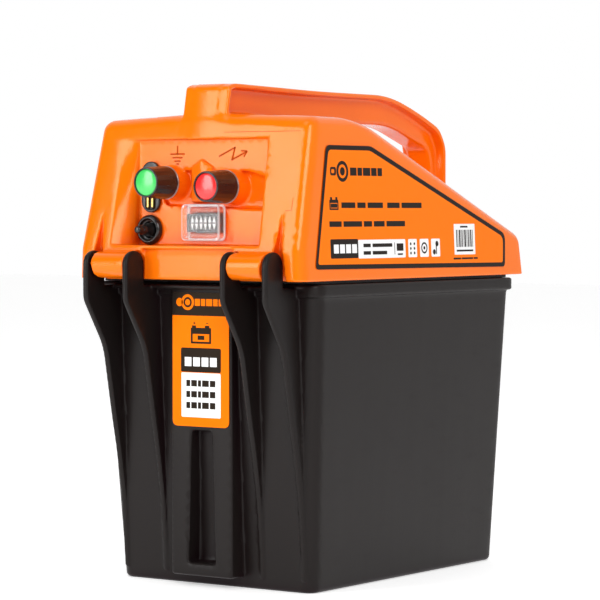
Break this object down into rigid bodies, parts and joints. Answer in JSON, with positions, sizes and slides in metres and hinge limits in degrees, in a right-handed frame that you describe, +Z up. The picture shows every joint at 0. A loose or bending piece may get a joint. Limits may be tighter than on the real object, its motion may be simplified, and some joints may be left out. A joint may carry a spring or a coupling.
{
  "type": "fence energizer",
  "caption": "Portable battery fence energizer: a tapered battery box with a hinged energizer head, carry handle, screw terminals, toggle switch and indicator window.",
  "frame": {"origin": "middle of the overall box, on the underside of the battery box", "axes": "+X to the right seen from the front panel, +Y to the rear, +Z up"},
  "size_m": [0.1734, 0.284, 0.3105],
  "materials": {
    "orange_shell": "moulded, satin gloss",
    "black_shell": "moulded polypropylene, fine texture",
    "satin_black": "moulded, satin",
    "green_cap": "glossy",
    "red_cap": "glossy",
    "clear_plastic": "clear moulded",
    "rubber": "soft matt",
    "label_film": "printed film",
    "board_laminate": "solder-masked laminate",
    "battery_plastic": "moulded",
    "brass": "turned",
    "steel": "zinc plated",
    "copper": "enamelled winding",
    "ferrite": "pressed laminations",
    "aluminium": "extruded"
  },
  "bodies": {
    "box": {"battery_box": "black_shell", "front_label": "label_film", "left_hinge_pin": "steel", "right_hinge_pin": "steel", "battery_case": "battery_plastic", "battery_cover": "battery_plastic", "battery_positive_post": "brass", "battery_negative_post": "brass"},
    "head": {"energizer_housing": "orange_shell", "left_side_label": "label_film", "right_side_label": "label_film", "base_plate": "black_shell", "housing_gasket": "rubber", "base_screw_1": "steel", "base_screw_2": "steel", "base_screw_3": "steel", "base_screw_4": "steel", "base_screw_5": "steel", "base_screw_6": "steel", "positive_lead_gland": "rubber", "negative_lead_gland": "rubber", "circuit_board": "board_laminate", "board_screw_1": "steel", "board_screw_2": "steel", "board_screw_3": "steel", "board_screw_4": "steel", "transformer_core": "ferrite", "transformer_winding": "copper", "storage_capacitor_1": "satin_black", "storage_capacitor_2": "satin_black", "converter_coil": "copper", "heat_sink": "aluminium", "control_chip": "satin_black", "terminal_block": "board_laminate", "earth_stud": "brass", "earth_stud_nut": "brass", "fence_stud": "brass", "fence_stud_nut": "brass", "socket_plate": "satin_black", "socket_pin_left": "brass", "socket_pin_right": "brass", "switch_bezel": "satin_black", "switch_body": "satin_black", "window_lens": "clear_plastic", "display_module": "satin_black", "latch_pin": "steel"},
    "earth_slider": {"earth_washer": "steel"},
    "earth_screw": {"earth_knob": "satin_black", "earth_knob_cap": "green_cap"},
    "fence_slider": {"fence_washer": "steel"},
    "fence_screw": {"fence_knob": "satin_black", "fence_knob_cap": "red_cap"},
    "switch": {"switch_lever": "satin_black"},
    "latch": {"rear_latch": "black_shell"}
  },
  "joints": [
    {"name": "head_hinge", "type": "hinge", "parent": "box", "child": "head", "pos_m": [0, -0.133, 0.19875], "axis": [1, 0, 0], "range_deg": [0, 95]},
    {"name": "earth_screw_turn", "type": "hinge", "parent": "earth_slider", "child": "earth_screw", "pos_m": [-0.023, -0.12, 0.2496], "axis": [0, -1, 0], "range_deg": [0, 1080]},
    {"name": "earth_slide", "type": "slide", "parent": "head", "child": "earth_slider", "axis": [0, -1, 0], "range_m": [0, 0.0046]},
    {"name": "fence_screw_turn", "type": "hinge", "parent": "fence_slider", "child": "fence_screw", "pos_m": [0.023, -0.12, 0.2469], "axis": [0, -1, 0], "range_deg": [0, 1080]},
    {"name": "fence_slide", "type": "slide", "parent": "head", "child": "fence_slider", "axis": [0, -1, 0], "range_m": [0, 0.0046]},
    {"name": "switch_toggle", "type": "hinge", "parent": "head", "child": "switch", "pos_m": [-0.0413, -0.11, 0.2205], "axis": [1, 0, 0], "range_deg": [-14, 14]},
    {"name": "latch_hinge", "type": "hinge", "parent": "head", "child": "latch", "pos_m": [0, 0.133, 0.204], "axis": [1, 0, 0], "range_deg": [0, 40]}
  ],
  "couplings": [
    {"joint": "earth_slide", "follows": "earth_screw_turn", "m_per_rad": 0.00023873},
    {"joint": "fence_slide", "follows": "fence_screw_turn", "m_per_rad": 0.00023873}
  ]
}
